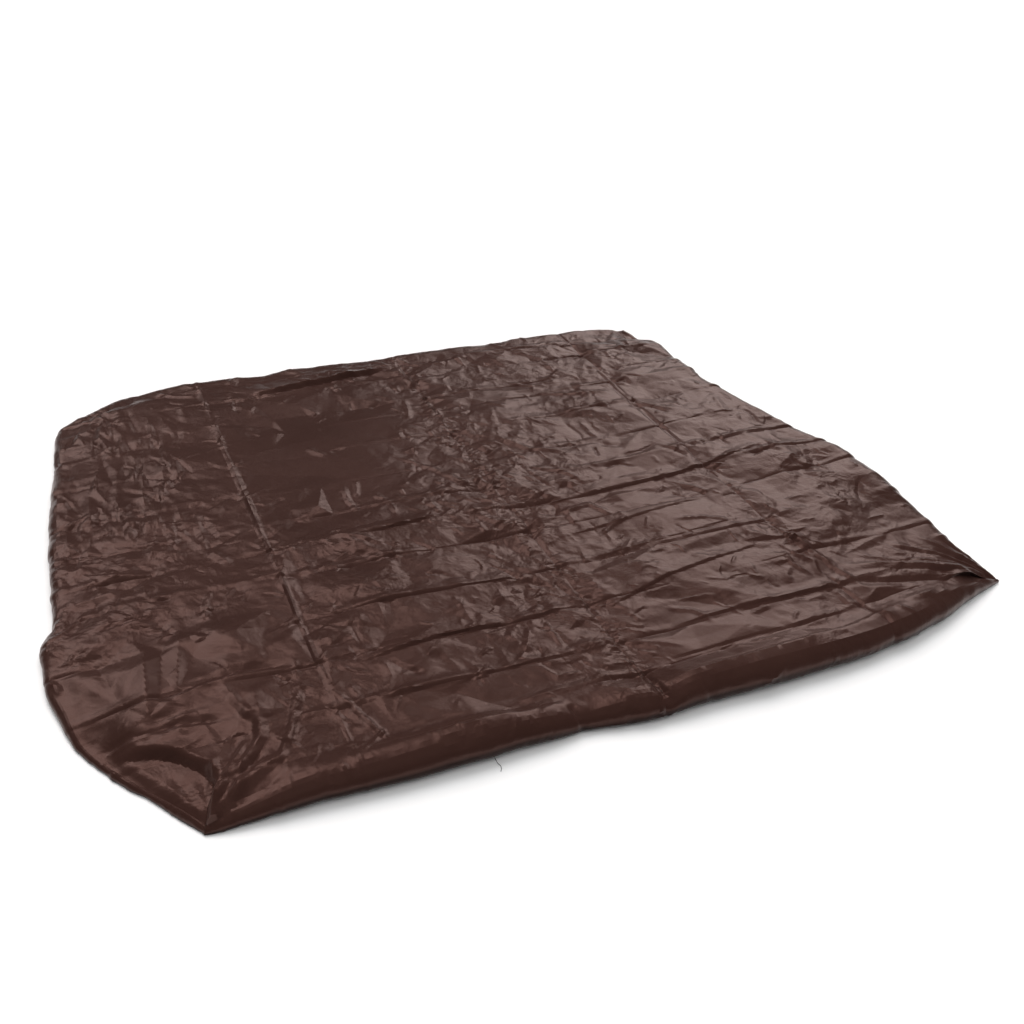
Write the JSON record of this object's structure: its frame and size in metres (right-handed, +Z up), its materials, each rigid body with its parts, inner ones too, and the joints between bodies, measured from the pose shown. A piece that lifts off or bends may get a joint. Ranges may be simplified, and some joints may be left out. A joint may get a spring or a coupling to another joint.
{
  "type": "spa cover",
  "caption": "Square fitted cover of thin coated cloth with an elastic hem, lying loosely on a floor with its skirt tucked under; it keeps dirt and rain off a hot tub.",
  "frame": {"origin": "bottom centre of the laid cover's bounding box, on the floor", "axes": "+X along the laid cover's longer side, across the middle seam; +Y along the middle seam towards the back; +Z up"},
  "size_m": [2.3071, 1.8755, 0.076],
  "materials": {
    "coated_cloth": "satin",
    "seam_tape": "matte",
    "thread": "matte",
    "elastic": "matte"
  },
  "bodies": {
    "root": {"left_cloth": "coated_cloth", "right_cloth": "coated_cloth", "centre_seam_tape": "seam_tape", "centre_seam_stitching": "thread", "corner_tape_front_left": "seam_tape", "corner_tape_front_right": "seam_tape", "corner_tape_back_right": "seam_tape", "corner_tape_back_left": "seam_tape", "corner_stitching": "thread", "hem_casing_front": "seam_tape", "hem_casing_right": "seam_tape", "hem_casing_back": "seam_tape", "hem_casing_left": "seam_tape", "hem_stitching": "thread", "elastic_cord": "elastic", "elastic_knot": "elastic"}
  },
  "joints": []
}
